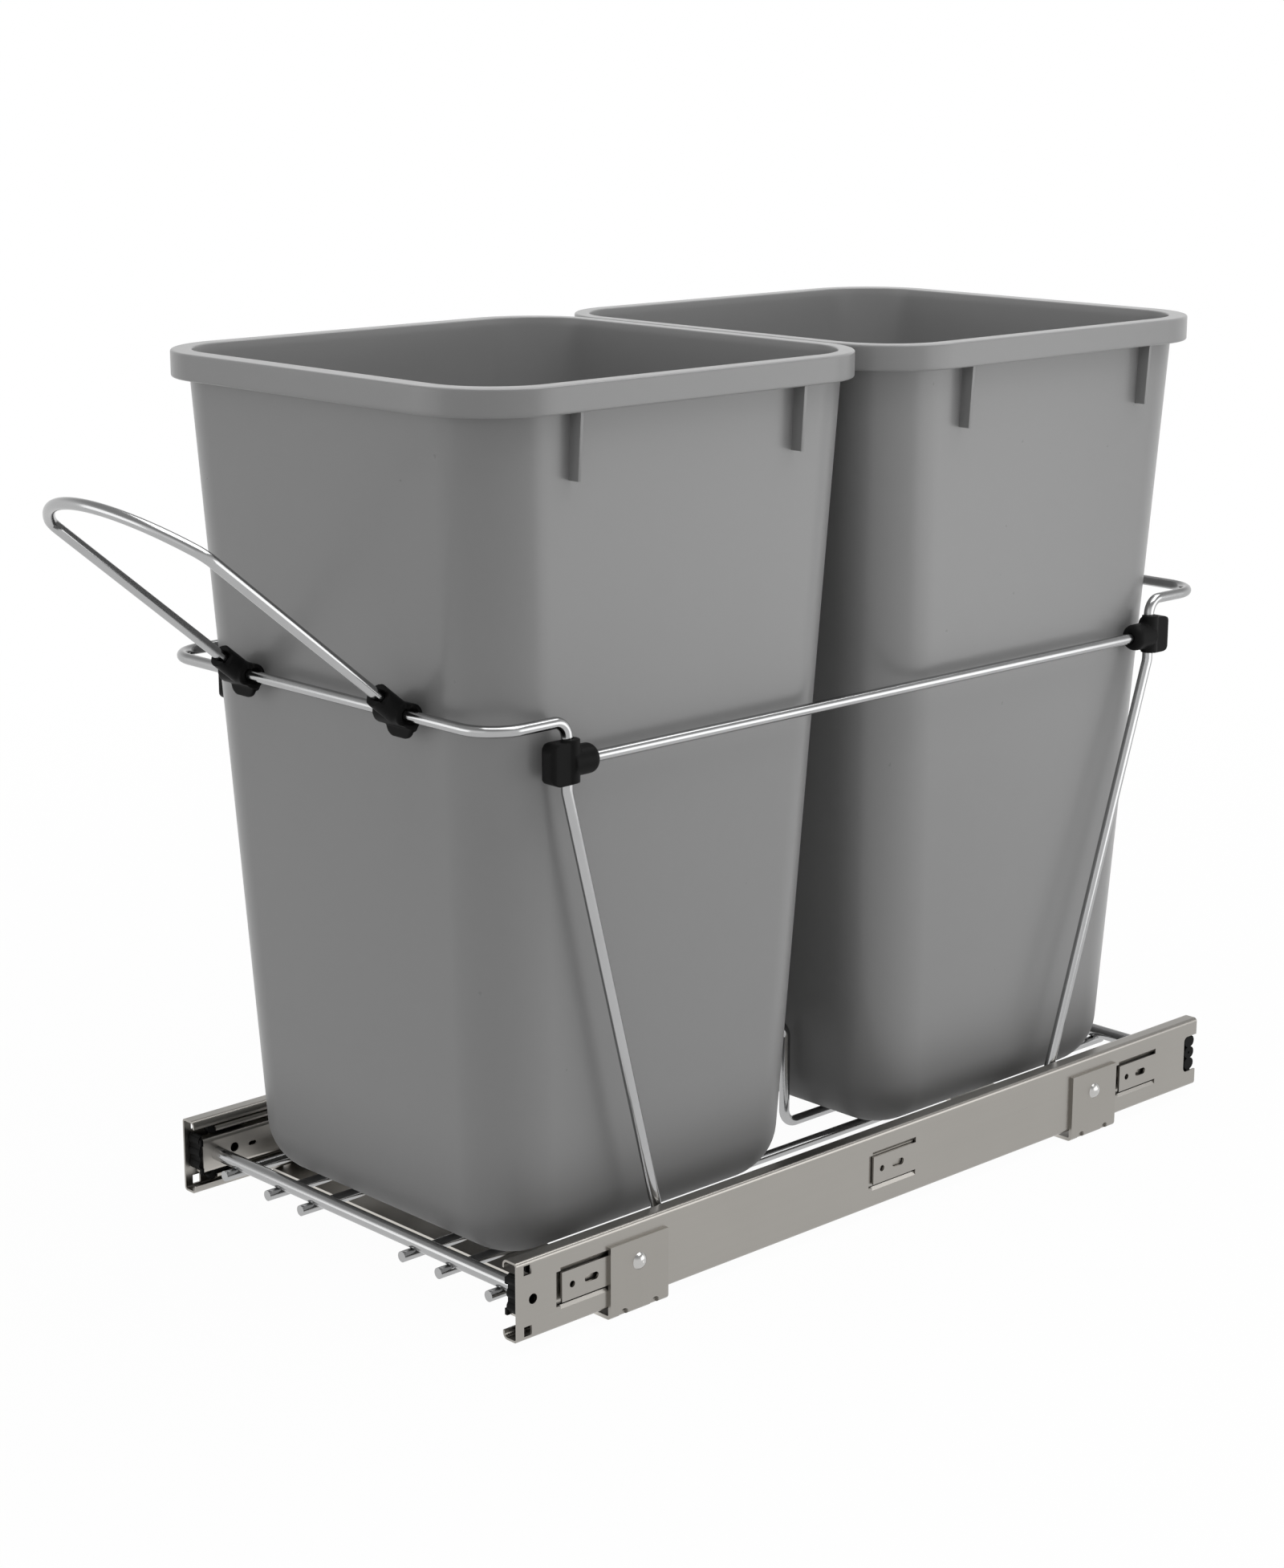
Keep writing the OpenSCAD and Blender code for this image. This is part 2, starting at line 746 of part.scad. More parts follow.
// black clip: sleeve on the handle leg, collar that turns on the front rail, tongue below it
module handle_clip(side) {
    collar_d = hoop_d + 7;
    collar_out = 11;
    collar_in = 13;
    sleeve_d = handle_d + 6.6;
    sleeve_len = 18;
    recess = 2;
    color([0.1, 0.1, 0.1])
        translate([side * handle_w / 2, front_rail_y, hoop_z])
            difference() {
                union() {
                    translate([-collar_in, 0, 0])
                        rotate([0, 90, 0])
                            cylinder(d = collar_d, h = collar_in + collar_out);
                    rotate([90 - handle_tilt, 0, 0])
                        cylinder(d = sleeve_d, h = sleeve_len);
                    translate([0, 1.2, 0])
                        rotate([90, 0, 0])
                            linear_extrude(height = 2.4)
                                round_plate(-9, 10.5, -12, 0, 5.8);
                    translate([0, 3.6, 0])
                        rotate([90, 0, 0])
                            linear_extrude(height = 3.6)
                                round_plate(-7, 10.8, -9, 0, 4);
                }
                rotate([0, 90, 0])
                    cylinder(d = hoop_d + 2 * fit, h = 40, center = true);
                for (x = [-collar_in - 1, collar_out - recess])
                    translate([x, 0, 0])
                        rotate([0, 90, 0])
                            cylinder(d = hoop_d + 2.6, h = recess + 1);
                translate([sleeve_d / 2 + 0.1, -10, -4])
                    cube([10, 9.4, 14]);
                rotate([90 - handle_tilt, 0, 0]) {
                    translate([0, 0, 8])
                        cylinder(d = handle_d + 2 * fit, h = sleeve_len);
                    translate([0, -handle_d / 2 - fit, sleeve_len - 3])
                        cube([sleeve_d, handle_d + 2 * fit, 6]);
                }
            }
}

// one ring of a bin: a rectangle with round corners
function ring(x, y, r, z, dy) = [
    for (q = [0 : 3])
        for (k = [0 : corner_steps])
            let (a = 90 * (q + k / corner_steps))
                [
                    (q == 0 || q == 3 ? 1 : -1) * (x - r) + r * cos(a),
                    dy + (q < 2 ? 1 : -1) * (y - r) + r * sin(a),
                    z
                ]
];
function body_ring(z, inset) =
    ring(body_x(z) - inset, body_y(z) - inset, body_r(z) - inset, z, body_shift);
function rim_ring(z, inset) = ring(rim_x - inset, rim_y - inset, rim_r - inset, z, 0);
function foot_ring(a, r, inset) = body_ring(bin_z + inset + r * (1 - cos(a)), inset + r * (1 - sin(a)));

module bin_shell() {
    in_r = foot_edge_r - wall;
    rings = concat(
        [for (k = [0 : 8]) foot_ring(11.25 * k, foot_edge_r, 0)],
        [for (k = [1 : 3]) body_ring(bin_z + foot_edge_r + (bin_h - foot_edge_r - 2.6) * k / 3, 0)],
        [rim_ring(bin_top - 2.6, rim_t), rim_ring(bin_top - rim_h, rim_t)],
        [for (k = [0 : 3])
            rim_ring(bin_top - rim_h + 1.4 * (1 - cos(30 * k)), 1.4 * (1 - sin(30 * k)))],
        [for (k = [0 : 3]) rim_ring(bin_top - 1.2 * (1 - sin(30 * k)), 1.2 * (1 - cos(30 * k)))],
        [for (k = [0 : 2])
            rim_ring(bin_top - 0.8 * (1 - cos(45 * k)), rim_top_w - 0.8 * (1 - sin(45 * k)))],
        [body_ring(bin_top - 5, wall)],
        [for (k = [1 : 3]) body_ring(bin_top - 5 - (bin_h - foot_edge_r - 5) * k / 3, wall)],
        [for (k = [1 : 8]) foot_ring(90 - 11.25 * k, in_r, wall)]
    );
    n = len(rings[0]);
    last = len(rings) - 1;
    polyhedron(
        points = [for (one = rings) each one],
        faces = concat(
            [[for (i = [0 : n - 1]) i]],
            [for (j = [0 : last - 1]) for (i = [0 : n - 1])
                [j * n + i, j * n + n + i, j * n + n + (i + 1) % n]],
            [for (j = [0 : last - 1]) for (i = [0 : n - 1])
                [j * n + i, j * n + n + (i + 1) % n, j * n + (i + 1) % n]],
            [[for (i = [0 : n - 1]) last * n + n - 1 - i]]
        )
    );
}

// gusset fin between the wall and the rim skirt
module fin() {
    low = bin_top - fin_len;
    rotate([90, 0, 0])
        linear_extrude(height = fin_t, center = true)
            polygon([
                [body_x(low) - 1, low],
                [body_x(low) + fin_out, low],
                [rim_x - 0.9, bin_top - rim_h + 2],
                [rim_x - 0.9, bin_top - 6],
                [body_x(bin_top - 6) - 1, bin_top - 6]
            ]);
}

module bin(end) {
    color([0.55, 0.56, 0.56])
        translate([0, bins_y + end * bin_y, 0])
            mirror([0, end == REAR ? 1 : 0, 0]) {
                bin_shell();
                for (s = [0, 1])
                    mirror([s, 0, 0])
                        for (y = [-fin_y, fin_y])
                            translate([0, y, 0])
                                fin();
            }
}

outer_member(LEFT);  // left_outer_member
outer_member(RIGHT);  // right_outer_member
cross_strap(FRONT);  // front_cross_strap
cross_strap(REAR);  // rear_cross_strap
strap_rivets();
rear_bumper(LEFT);  // left_rear_bumper
rear_bumper(RIGHT);  // right_rear_bumper
intermediate_member(LEFT);  // left_intermediate_member
intermediate_member(RIGHT);  // right_intermediate_member
front_guide(LEFT);  // left_front_guide
front_guide(RIGHT);  // right_front_guide
outer_cage(LEFT);  // left_outer_cage
outer_cage(RIGHT);  // right_outer_cage
outer_balls(LEFT);  // left_outer_balls
outer_balls(RIGHT);  // right_outer_balls
inner_cage(LEFT);  // left_inner_cage
inner_cage(RIGHT);  // right_inner_cage
inner_balls(LEFT);  // left_inner_balls
inner_balls(RIGHT);  // right_inner_balls
inner_member(LEFT);  // left_inner_member
inner_member(RIGHT);  // right_inner_member
front_bumper(LEFT);  // left_front_bumper
front_bumper(RIGHT);  // right_front_bumper
cross_rod(front_rod_y);  // front_cross_rod
cross_rod(rear_rod_y);  // rear_cross_rod
floor_wire(-outer_wire_x);  // left_outer_floor_wire
floor_wire(outer_wire_x);  // right_outer_floor_wire
floor_wire(-middle_wire_x);  // left_middle_floor_wire
floor_wire(middle_wire_x);  // right_middle_floor_wire
arched_floor_wire(-arched_wire_x);  // left_arched_floor_wire
arched_floor_wire(arched_wire_x);  // right_arched_floor_wire
front_hoop();
rear_hoop();
side_rod(LEFT);  // left_side_rod
side_rod(RIGHT);  // right_side_rod
rod_clip(LEFT, FRONT);  // front_left_rod_clip
rod_clip(RIGHT, FRONT);  // front_right_rod_clip
rod_clip(LEFT, REAR);  // rear_left_rod_clip
rod_clip(RIGHT, REAR);  // rear_right_rod_clip
handle_wire();
handle_clip(LEFT);  // left_handle_clip
handle_clip(RIGHT);  // right_handle_clip
bin(FRONT);  // front_bin
bin(REAR);  // rear_bin
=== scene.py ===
# Pull-out bin frame: finishes, moulded bins, bent wires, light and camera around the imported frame.
import json
import math

import bmesh
import bpy
from mathutils import Matrix, Vector


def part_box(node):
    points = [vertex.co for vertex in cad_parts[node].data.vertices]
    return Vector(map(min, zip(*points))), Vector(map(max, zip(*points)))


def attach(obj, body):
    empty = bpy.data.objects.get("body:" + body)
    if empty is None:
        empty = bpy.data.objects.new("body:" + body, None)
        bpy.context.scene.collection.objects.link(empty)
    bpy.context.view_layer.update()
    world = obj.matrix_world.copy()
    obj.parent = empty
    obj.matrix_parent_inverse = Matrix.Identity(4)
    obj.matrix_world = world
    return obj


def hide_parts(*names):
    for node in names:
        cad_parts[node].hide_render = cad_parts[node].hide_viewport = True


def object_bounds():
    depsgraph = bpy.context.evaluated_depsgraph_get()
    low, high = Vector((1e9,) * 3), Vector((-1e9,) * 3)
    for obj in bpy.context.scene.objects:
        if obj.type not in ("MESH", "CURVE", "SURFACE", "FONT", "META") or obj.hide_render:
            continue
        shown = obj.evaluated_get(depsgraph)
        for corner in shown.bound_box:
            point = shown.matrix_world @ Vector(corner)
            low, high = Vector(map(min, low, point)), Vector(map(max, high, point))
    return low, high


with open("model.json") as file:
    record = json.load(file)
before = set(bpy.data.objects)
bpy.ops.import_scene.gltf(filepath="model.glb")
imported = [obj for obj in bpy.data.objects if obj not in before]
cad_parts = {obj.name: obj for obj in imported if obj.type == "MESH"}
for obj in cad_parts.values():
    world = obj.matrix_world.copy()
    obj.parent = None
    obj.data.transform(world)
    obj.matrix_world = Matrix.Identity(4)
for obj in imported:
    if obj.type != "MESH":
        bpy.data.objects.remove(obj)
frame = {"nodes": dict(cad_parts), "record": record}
cad_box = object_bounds()

MM = 0.001


# Shader values

class Field:
    """A shader value over a surface. Python operators on it add Math nodes."""

    def __init__(self, tree, socket):
        self.tree = tree
        self.socket = socket

    def math(self, operation, first, second):
        node = self.tree.nodes.new("ShaderNodeMath")
        node.operation = operation
        for socket, value in zip(node.inputs, (first, second)):
            plug(self.tree, socket, value)
        return Field(self.tree, node.outputs[0])

    def __add__(self, other):
        return self.math("ADD", self, other)

    def __radd__(self, other):
        return self.math("ADD", other, self)

    def __sub__(self, other):
        return self.math("SUBTRACT", self, other)

    def __rsub__(self, other):
        return self.math("SUBTRACT", other, self)

    def __mul__(self, other):
        return self.math("MULTIPLY", self, other)

    def __rmul__(self, other):
        return self.math("MULTIPLY", other, self)


def plug(tree, socket, value):
    """Links a field to a socket, or sets the socket to a plain value."""
    if isinstance(value, Field):
        tree.links.new(value.socket, socket)
    else:
        socket.default_value = value


class Finish:
    """A node tree. Nodes that no operator makes come from its one add method."""

    def __init__(self, owner):
        owner.use_nodes = True
        self.owner = owner
        self.tree = owner.node_tree
        self.tree.nodes.clear()

    def add(self, kind, settings=None, sockets=None, out=0):
        """Adds a node: its settings first, then the values or links of its sockets."""
        node = self.tree.nodes.new(kind)
        for name, value in (settings or {}).items():
            setattr(node, name, value)
        for name, value in (sockets or {}).items():
            plug(self.tree, node.inputs[name], value)
        return Field(self.tree, node.outputs[out]) if len(node.outputs) else None

    def place(self, stretch=(1.0, 1.0, 1.0)):
        """The point on the piece in metres, stretched per axis."""
        point = self.add("ShaderNodeTexCoord", out="Object")
        return self.add("ShaderNodeVectorMath", {"operation": "MULTIPLY"}, {0: point, 1: stretch})

    def along(self, axis):
        """One coordinate of the point on the piece, in metres."""
        point = self.add("ShaderNodeTexCoord", out="Object")
        return self.add("ShaderNodeSeparateXYZ", sockets={"Vector": point}, out=axis)

    def noise(self, scale, detail=2.0, stretch=(1.0, 1.0, 1.0), rough=0.5):
        return self.add(
            "ShaderNodeTexNoise",
            sockets={"Vector": self.place(stretch), "Scale": scale, "Detail": detail, "Roughness": rough},
            out="Fac",
        )

    def step(self, field, start, end):
        """A smooth step of a field, from 0 at start to 1 at end."""
        return self.add(
            "ShaderNodeMapRange",
            {"interpolation_type": "SMOOTHSTEP", "clamp": True},
            {"Value": field, "From Min": start, "From Max": end},
        )

    def blend(self, share, first, second):
        """A colour between two colours, by the colour sockets of a Mix node."""
        return self.add("ShaderNodeMix", {"data_type": "RGBA"}, {0: share, 6: first, 7: second}, out=2)

    def bump(self, height, strength):
        return self.add(
            "ShaderNodeBump", sockets={"Height": height, "Strength": strength, "Distance": BUMP_DEPTH}
        )

    def surface(self, shader):
        self.add("ShaderNodeOutputMaterial", sockets={"Surface": shader})
        return self.owner

    def principled(self, **sockets):
        """Closes a finish with a Principled shader. Its sockets are named with _ for a space."""
        named = {name.replace("_", " "): value for name, value in sockets.items()}
        return self.surface(self.add("ShaderNodeBsdfPrincipled", sockets=named))


def grey(value, warm=0.0):
    return (value * (1 + warm), value, value * (1 - warm), 1.0)


# Finishes, with sizes in metres

BUMP_DEPTH = 0.1 * MM
WHITE = grey(1.0)
BIN_SHADES = (grey(0.228), grey(0.242))
# Painted shade: the bin's foot is coloured darker; the same heights also make the foot duller.
BIN_FOOT_PAINTED_SHADE = grey(0.150)
FOOT_RUB_AND_PAINTED_SHADE_LOW = 0.020
FOOT_RUB_AND_PAINTED_SHADE_HIGH = 0.105
WIRE_SHADES = (grey(0.38, -0.004), grey(0.44, -0.006))
WIRE_EDGE_TINT = grey(0.85)
BALL_SHADES = (grey(0.62), grey(0.70))
BLACK_SHADES = (grey(0.0075), grey(0.0115))
SLIDE_SHADE = (0.340, 0.326, 0.303)
# Painted light: a lighter slide steel for the shaded inner and intermediate members.
INNER_SLIDE_PAINTED_LIGHT = (0.46, 0.441, 0.410)
RIVET_SHADE = (0.50, 0.495, 0.485)
STRAP_SHADE = (0.325, 0.311, 0.288)
# Painted light: a brighter strap colour on the flat run under the bins, where shade falls.
STRAP_FLAT_PAINTED_LIGHT = (0.58, 0.556, 0.517)
STRAP_FLAT_END = 0.128
STRAP_BEND_START = 0.142
PLATE_DARK = 0.95
PLATE_LIGHT = 1.05


def bin_plastic():
    """Mid-grey satin plastic, fine grain, slight flow clouds; a dull foot darkened by painted shade."""
    finish = Finish(bpy.data.materials.new("bin_grey_plastic"))
    clouds = finish.noise(scale=7.0, detail=3.0, stretch=(1.0, 1.0, 0.45))
    grain = finish.noise(scale=1400.0)
    mottle = finish.noise(scale=160.0, detail=4.0)
    streaks = finish.noise(scale=60.0, detail=6.0, stretch=(1.0, 1.0, 7.0), rough=0.65)
    scuffs = finish.step(streaks, 0.62, 0.74)
    # The foot mask: painted shade in the colour, and a rubbed dullness in the roughness.
    foot = finish.step(finish.along("Z"), FOOT_RUB_AND_PAINTED_SHADE_HIGH, FOOT_RUB_AND_PAINTED_SHADE_LOW)
    shell = finish.blend(clouds + (mottle - 0.5) * 0.3, *BIN_SHADES)
    return finish.principled(
        Base_Color=finish.blend(foot * 0.8, shell, BIN_FOOT_PAINTED_SHADE),
        Roughness=0.30 + (mottle - 0.5) * 0.10 + scuffs * 0.04 + foot * 0.35,
        IOR=1.48,
        Normal=finish.bump(grain + mottle * 0.5, 0.10),
    )


def plated_wire():
    """Bright plated wire with a little haze and fine pits."""
    finish = Finish(bpy.data.materials.new("bright_plated_wire"))
    haze = finish.noise(scale=55.0, detail=4.0)
    pits = finish.noise(scale=900.0, detail=3.0)
    return finish.principled(
        Base_Color=finish.blend(haze, *WIRE_SHADES),
        Metallic=1.0,
        Roughness=0.14 + haze * 0.05 + pits * 0.02,
        Specular_Tint=WIRE_EDGE_TINT,
    )


def rolled_steel(name, shade, lines, roughness, flat_painted_light=None):
    """Satin plated strip steel, with rolling lines along one direction and faint clouds in the plate.

    A brighter colour may go on a strap's flat run between the slides: painted light in the bins' shade.
    """
    finish = Finish(bpy.data.materials.new(name))
    rolling = finish.noise(scale=1.0, detail=4.0, stretch=lines, rough=0.6)
    clouds = finish.noise(scale=22.0, detail=4.0)
    grain = finish.noise(scale=1800.0)
    dark, light = ((*(c * share for c in shade), 1.0) for share in (PLATE_DARK, PLATE_LIGHT))
    plate = finish.blend(clouds * 0.6 + rolling * 0.4, dark, light)
    if flat_painted_light:
        # Painted light: the flat run between the slides, shaded by the bins, is made brighter.
        across = finish.along("X")
        painted_light_run = finish.step(across * across, STRAP_BEND_START ** 2, STRAP_FLAT_END ** 2)
        plate = finish.blend(painted_light_run, plate, (*flat_painted_light, 1.0))
    return finish.principled(
        Base_Color=plate,
        Metallic=1.0,
        Roughness=roughness + (rolling - 0.5) * 0.10 + (clouds - 0.5) * 0.06,
        Normal=finish.bump(rolling * 0.8 + grain * 0.3, 0.06),
    )


def ball_steel():
    """Polished steel of the balls, with a fine haze."""
    finish = Finish(bpy.data.materials.new("ball_steel"))
    haze = finish.noise(scale=700.0, detail=3.0)
    return finish.principled(
        Base_Color=finish.blend(haze, *BALL_SHADES),
        Metallic=1.0,
        Roughness=0.05 + haze * 0.06,
    )


def black_plastic():
    """Black moulded plastic with a fine grain and a dull sheen."""
    finish = Finish(bpy.data.materials.new("black_moulded_plastic"))
    grain = finish.noise(scale=1500.0, detail=3.0)
    mottle = finish.noise(scale=180.0, detail=4.0)
    return finish.principled(
        Base_Color=finish.blend(mottle, *BLACK_SHADES),
        Roughness=0.42 + (mottle - 0.5) * 0.16,
        IOR=1.47,
        Specular_IOR_Level=0.045,
        Normal=finish.bump(grain + mottle * 0.4, 0.12),
    )


# Stretches of the rolling lines: they run along the axes with the small numbers.
ALONG_SLIDE = (420.0, 5.0, 420.0)
ALONG_STRAP = (5.0, 420.0, 5.0)
NO_LINES = (90.0, 90.0, 90.0)
FINISHES = {
    "bin_plastic": bin_plastic(),
    "chrome_wire": plated_wire(),
    "slide_steel": rolled_steel("slide_steel", SLIDE_SHADE, ALONG_SLIDE, 0.30),
    "strap_steel": rolled_steel("strap_steel", STRAP_SHADE, ALONG_STRAP, 0.36, STRAP_FLAT_PAINTED_LIGHT),
    "ball_steel": ball_steel(),
    "black_plastic": black_plastic(),
}
# Painted light: a lighter copy of the slide steel for the inner members, which lie in shade.
INNER_SLIDE_STEEL_PAINTED_LIGHT = rolled_steel("inner_slide_steel_painted_light", INNER_SLIDE_PAINTED_LIGHT, ALONG_SLIDE, 0.34)
NODE_FINISHES = {"strap_rivets": rolled_steel("rivet_steel", RIVET_SHADE, NO_LINES, 0.22)}
for hand in ("left", "right"):
    for member in ("inner_member", "intermediate_member"):
        NODE_FINISHES[f"{hand}_{member}"] = INNER_SLIDE_STEEL_PAINTED_LIGHT

CLIP_SKIN = 0.45 * MM
CLIP_EASE = 0.5
CLIP_EASE_PASSES = 4


def dress(piece, slot, finish=None):
    """Gives a piece its own finish, or the one of its material slot."""
    piece.data.materials.clear()
    piece.data.materials.append(finish or FINISHES[slot])


def soften(piece):
    """Rounds the edges of a small moulding: an even skin, then a few passes of smoothing."""
    skin = piece.modifiers.new("even_skin", "REMESH")
    skin.mode = "VOXEL"
    skin.voxel_size = CLIP_SKIN
    skin.use_smooth_shade = True
    ease = piece.modifiers.new("eased_edges", "SMOOTH")
    ease.factor = CLIP_EASE
    ease.iterations = CLIP_EASE_PASSES


for part in frame["record"]["subparts"]:
    node = part["node"]
    dress(frame["nodes"][node], part["material_slot"], NODE_FINISHES.get(node))
    if node.endswith("_clip"):
        soften(frame["nodes"][node])


# Bins, in millimetres

CORNER_STEPS = 28
WALL_STEPS = 6
FOOT_STEPS = 12
HARD_EDGE = math.radians(32.0)
BIN_WALL = 2.5
FOOT_EDGE = 30.0
FOOT_FLAT = 4.0
# How far the body stands inside the rim along x and y, and its corner radius, at the top and at the foot.
BODY_TOP = (7.7, 8.0, 40.0)
BODY_FOOT = (29.5, 34.3, 35.0)
BODY_SHIFT = 1.6
RIM_CORNER = 49.0
RIM_SKIRT = 14.0
RIM_PLATE = 2.6
RIM_WALL = 2.2
RIM_ROUND = 1.2
SKIRT_ROUND = 1.1
LIP_ROUND = 0.8
RIM_FILLET = 0.5
# Rows close to a rounded edge, which keep the shading of the flat beside it even.
RIM_ROW = 2.4
TOP_ROW = 1.0
WALL_ROW = 2.0
LIP_ROWS = (5.0, 7.0)
FIN_FROM_MIDDLE = 77.0
FIN_THICK = 2.0
FIN_LENGTH = 47.5
FIN_REACH = 7.0
FIN_ROOT = 1.0
FIN_TOP = 6.0
FIN_INSIDE_RIM = 0.9
FIN_ABOVE_SKIRT = 2.0
FIN_EDGE = 0.35


def ring_points(half_x, half_y, radius, height, shift=0.0):
    """A rectangle with round corners, anticlockwise seen from above, shifted along y."""
    points = []
    for quarter in range(4):
        side_x = 1 if quarter in (0, 3) else -1
        side_y = 1 if quarter < 2 else -1
        for k in range(CORNER_STEPS + 1):
            angle = math.radians(90 * (quarter + k / CORNER_STEPS))
            points.append((
                side_x * (half_x - radius) + radius * math.cos(angle),
                shift + side_y * (half_y - radius) + radius * math.sin(angle),
                height,
            ))
    return points


def quarter_turn(steps, radius):
    """A rounded edge in steps: one distance falls from the radius to 0 while the other rises to it."""
    angles = [math.radians(90 * k / steps) for k in range(steps + 1)]
    return [(radius * (1 - math.sin(a)), radius * (1 - math.cos(a))) for a in angles]


class BinShape:
    """The moulding of one bin, from the box of its node. Its body stands off the rim's middle."""

    def __init__(self, low, high, shift):
        self.shift = shift
        self.rim_x = (high.x - low.x) / 2 / MM
        self.rim_y = (high.y - low.y) / 2 / MM
        self.foot = low.z / MM
        self.top = high.z / MM

    def body_section(self, z):
        share = (z - self.foot) / (self.top - self.foot)
        return [foot + (top - foot) * share for foot, top in zip(BODY_FOOT, BODY_TOP)]

    def body_x(self, z):
        return self.rim_x - self.body_section(z)[0]

    def body(self, z, inset):
        in_x, in_y, radius = self.body_section(z)
        half_x = self.rim_x - in_x - inset
        half_y = self.rim_y - in_y - inset
        return ring_points(half_x, half_y, radius - inset, z, self.shift)

    def rim(self, z, inset):
        return ring_points(self.rim_x - inset, self.rim_y - inset, RIM_CORNER - inset, z)

    def outside(self):
        """Up from the foot to the underside of the rim."""
        foot = self.foot
        under = self.top - RIM_PLATE
        wall = self.top - foot - FOOT_EDGE
        rows = [WALL_ROW] + [wall * k / WALL_STEPS for k in range(1, WALL_STEPS)]
        return [
            self.body(foot, FOOT_EDGE + FOOT_FLAT),
            *(self.body(foot + rise, inset) for inset, rise in quarter_turn(FOOT_STEPS, FOOT_EDGE)),
            *(self.body(foot + FOOT_EDGE + row, 0.0) for row in rows),
            self.body(under - WALL_ROW, 0.0),
            *(self.body(under - drop, -out) for drop, out in quarter_turn(3, LIP_ROUND)),
        ]

    def round_the_rim(self):
        """Down inside the skirt, round its lower edge, up its outside and over the top to the inner lip."""
        top = self.top
        under = top - RIM_PLATE
        skirt = top - RIM_SKIRT
        return [
            self.rim(under, RIM_WALL + RIM_FILLET),
            self.rim(under - RIM_FILLET, RIM_WALL),
            self.rim(skirt + RIM_ROW, RIM_WALL),
            *(self.rim(skirt + rise, RIM_WALL - out) for rise, out in quarter_turn(4, SKIRT_ROUND)),
            *(self.rim(skirt + rise, inset) for inset, rise in quarter_turn(4, SKIRT_ROUND)[1:]),
            self.rim(skirt + RIM_ROW, 0.0),
            self.rim(top - RIM_ROW, 0.0),
            *(self.rim(top - drop, inset) for drop, inset in quarter_turn(5, RIM_ROUND)),
            self.rim(top, RIM_ROUND + TOP_ROW),
            self.body(top, BIN_WALL - LIP_ROUND - TOP_ROW),
            *(self.body(top - drop, BIN_WALL - out) for out, drop in quarter_turn(4, LIP_ROUND)),
        ]

    def inside(self):
        """Down from the lip to the floor of the bin."""
        floor = self.foot + BIN_WALL
        edge = FOOT_EDGE - BIN_WALL
        upper = self.top - LIP_ROWS[-1]
        wall = upper - WALL_ROW - self.foot - FOOT_EDGE
        return [
            *(self.body(self.top - row, BIN_WALL) for row in LIP_ROWS),
            *(self.body(upper - wall * k / WALL_STEPS, BIN_WALL) for k in range(1, WALL_STEPS + 1)),
            *(
                self.body(floor + rise, BIN_WALL + inset)
                for inset, rise in reversed(quarter_turn(FOOT_STEPS, edge))
            ),
            self.body(floor, FOOT_EDGE + FOOT_FLAT),
        ]

    def rings(self):
        return self.outside() + self.round_the_rim() + self.inside()

    def fin_outline(self):
        """A fin seen from the front, as x and z: its root is in the wall and its top in the rim."""
        low = self.top - FIN_LENGTH
        high = self.top - FIN_TOP
        edge = self.rim_x - FIN_INSIDE_RIM
        return [
            (self.body_x(low) - FIN_ROOT, low),
            (self.body_x(low) + FIN_REACH, low),
            (edge, self.top - RIM_SKIRT + FIN_ABOVE_SKIRT),
            (edge, high),
            (self.body_x(high) - FIN_ROOT, high),
        ]


def finish_mesh(name, bm):
    """Turns a bmesh in millimetres into a smooth-shaded object whose hard edges stay hard."""
    bmesh.ops.recalc_face_normals(bm, faces=bm.faces)
    for face in bm.faces:
        face.smooth = True
    for edge in bm.edges:
        if len(edge.link_faces) == 2 and edge.calc_face_angle() > HARD_EDGE:
            edge.smooth = False
    bmesh.ops.scale(bm, vec=(MM, MM, MM), verts=bm.verts)
    mesh = bpy.data.meshes.new(name)
    bm.to_mesh(mesh)
    bm.free()
    piece = bpy.data.objects.new(name, mesh)
    bpy.context.scene.collection.objects.link(piece)
    return piece


def loft(bm, rings):
    """Skins a stack of rings and closes both ends."""
    rows = [[bm.verts.new(p) for p in ring] for ring in rings]
    count = len(rows[0])
    for lower, upper in zip(rows, rows[1:]):
        for i in range(count):
            j = (i + 1) % count
            bm.faces.new((lower[i], lower[j], upper[j], upper[i]))
    bm.faces.new(list(reversed(rows[0])))
    bm.faces.new(rows[-1])


def fin(bm, outline, side, y):
    """A thin gusset between the wall and the rim skirt, with its edges eased."""
    plate = bmesh.new()
    faces = []
    for dy in (-FIN_THICK / 2, FIN_THICK / 2):
        faces.append([plate.verts.new((side * x, y + dy, z)) for x, z in outline])
    plate.faces.new(faces[0])
    plate.faces.new(list(reversed(faces[1])))
    for i in range(len(outline)):
        j = (i + 1) % len(outline)
        plate.faces.new((faces[0][j], faces[0][i], faces[1][i], faces[1][j]))
    bmesh.ops.bevel(
        plate, geom=list(plate.edges), offset=FIN_EDGE, segments=2, profile=0.5, affect="EDGES"
    )
    mesh = bpy.data.meshes.new("fin")
    plate.to_mesh(mesh)
    plate.free()
    bm.from_mesh(mesh)
    bpy.data.meshes.remove(mesh)


def moulded_bin(node, body, shift):
    """A bin with its fins, standing for a node of the frame."""
    low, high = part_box(node)
    shape = BinShape(low, high, shift)
    middle = (low.y + high.y) / 2 / MM
    bm = bmesh.new()
    loft(bm, shape.rings())
    for side in (-1, 1):
        for y in (-FIN_FROM_MIDDLE, FIN_FROM_MIDDLE):
            fin(bm, shape.fin_outline(), side, y)
    bmesh.ops.translate(bm, vec=(0, middle, 0), verts=bm.verts)
    piece = finish_mesh(node + "_moulding", bm)
    dress(piece, "bin_plastic")
    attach(piece, body)
    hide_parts(node)


moulded_bin("front_bin", "front_bin_body", BODY_SHIFT)
moulded_bin("rear_bin", "rear_bin_body", -BODY_SHIFT)


# Bent wires, in millimetres

